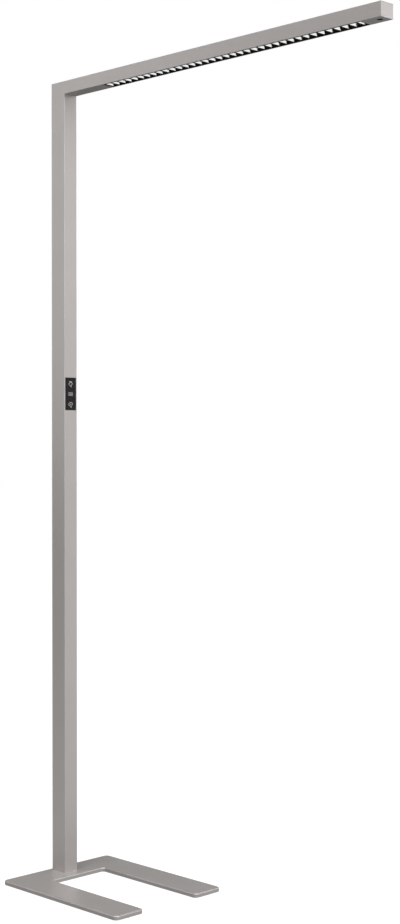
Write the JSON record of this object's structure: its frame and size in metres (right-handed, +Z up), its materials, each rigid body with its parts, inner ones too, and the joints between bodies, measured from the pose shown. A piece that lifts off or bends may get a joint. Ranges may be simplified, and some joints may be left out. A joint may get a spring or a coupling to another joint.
{
  "type": "office floor lamp",
  "caption": "Free-standing office floor lamp: flat U-shaped foot, slim column with a key panel, level arm with a down-light louvre and an up-light diffuser.",
  "frame": {"origin": "point on the floor under the column's axis, at the underside of the glide pad there", "axes": "+Z up along the column, +X along the arm from the column to its tip and out of the key panel, +Y across the legs"},
  "size_m": [1.068, 0.342, 2],
  "materials": {
    "steel_coat": "satin",
    "aluminium_coat": "satin",
    "pad_rubber": "matte",
    "screw_steel": "satin",
    "bracket_metal": "satin",
    "tray_sheet": "satin",
    "frame_black": "matte",
    "blade_bright": "gloss",
    "light_board": "satin",
    "light_source": "gloss",
    "opal_sheet": "satin",
    "dark_window": "gloss",
    "panel_black": "satin",
    "plunger_white": "matte",
    "circuit_board": "satin",
    "switch_body": "matte",
    "driver_case": "matte",
    "terminal_plastic": "matte",
    "earth_brass": "satin",
    "lead_sheath": "matte"
  },
  "bodies": {
    "lamp": {"base_plate": "steel_coat", "glide_pads": "pad_rubber", "base_screws": "screw_steel", "column_profile": "aluminium_coat", "corner_bracket": "bracket_metal", "bracket_screws": "screw_steel", "bracket_set_screws": "screw_steel", "arm_profile": "aluminium_coat", "end_cap": "aluminium_coat", "gear_tray": "tray_sheet", "downlight_boards": "light_board", "downlight_leds": "light_source", "louvre_frame": "frame_black", "louvre_blades": "blade_bright", "uplight_boards": "light_board", "uplight_leds": "light_source", "uplight_diffuser": "opal_sheet", "sensor_bezel": "frame_black", "sensor_lens": "dark_window", "sensor_board": "circuit_board", "sensor_lead": "lead_sheath", "arm_terminal": "terminal_plastic", "board_leads": "lead_sheath", "panel_fascia": "panel_black", "panel_housing": "frame_black", "control_board": "circuit_board", "control_switches": "switch_body", "board_screws": "screw_steel", "led_driver": "driver_case", "driver_tray": "tray_sheet", "driver_screws": "screw_steel", "tray_foot_screws": "screw_steel", "mains_terminal": "terminal_plastic", "earth_screw": "earth_brass", "cable_bush": "pad_rubber", "supply_lead": "lead_sheath", "led_lead": "lead_sheath", "control_lead": "lead_sheath"},
    "upper_key": {"key_upper": "panel_black", "plunger_upper": "plunger_white"},
    "middle_key": {"key_middle": "panel_black", "plunger_middle": "plunger_white"},
    "lower_key": {"key_lower": "panel_black", "plunger_lower": "plunger_white"}
  },
  "joints": [
    {"name": "upper_key_press", "type": "slide", "parent": "lamp", "child": "upper_key", "axis": [-1, 0, 0], "range_m": [0, 0.0008], "stiffness_N_per_m": 2500},
    {"name": "middle_key_press", "type": "slide", "parent": "lamp", "child": "middle_key", "axis": [-1, 0, 0], "range_m": [0, 0.0008], "stiffness_N_per_m": 2500},
    {"name": "lower_key_press", "type": "slide", "parent": "lamp", "child": "lower_key", "axis": [-1, 0, 0], "range_m": [0, 0.0008], "stiffness_N_per_m": 2500}
  ]
}
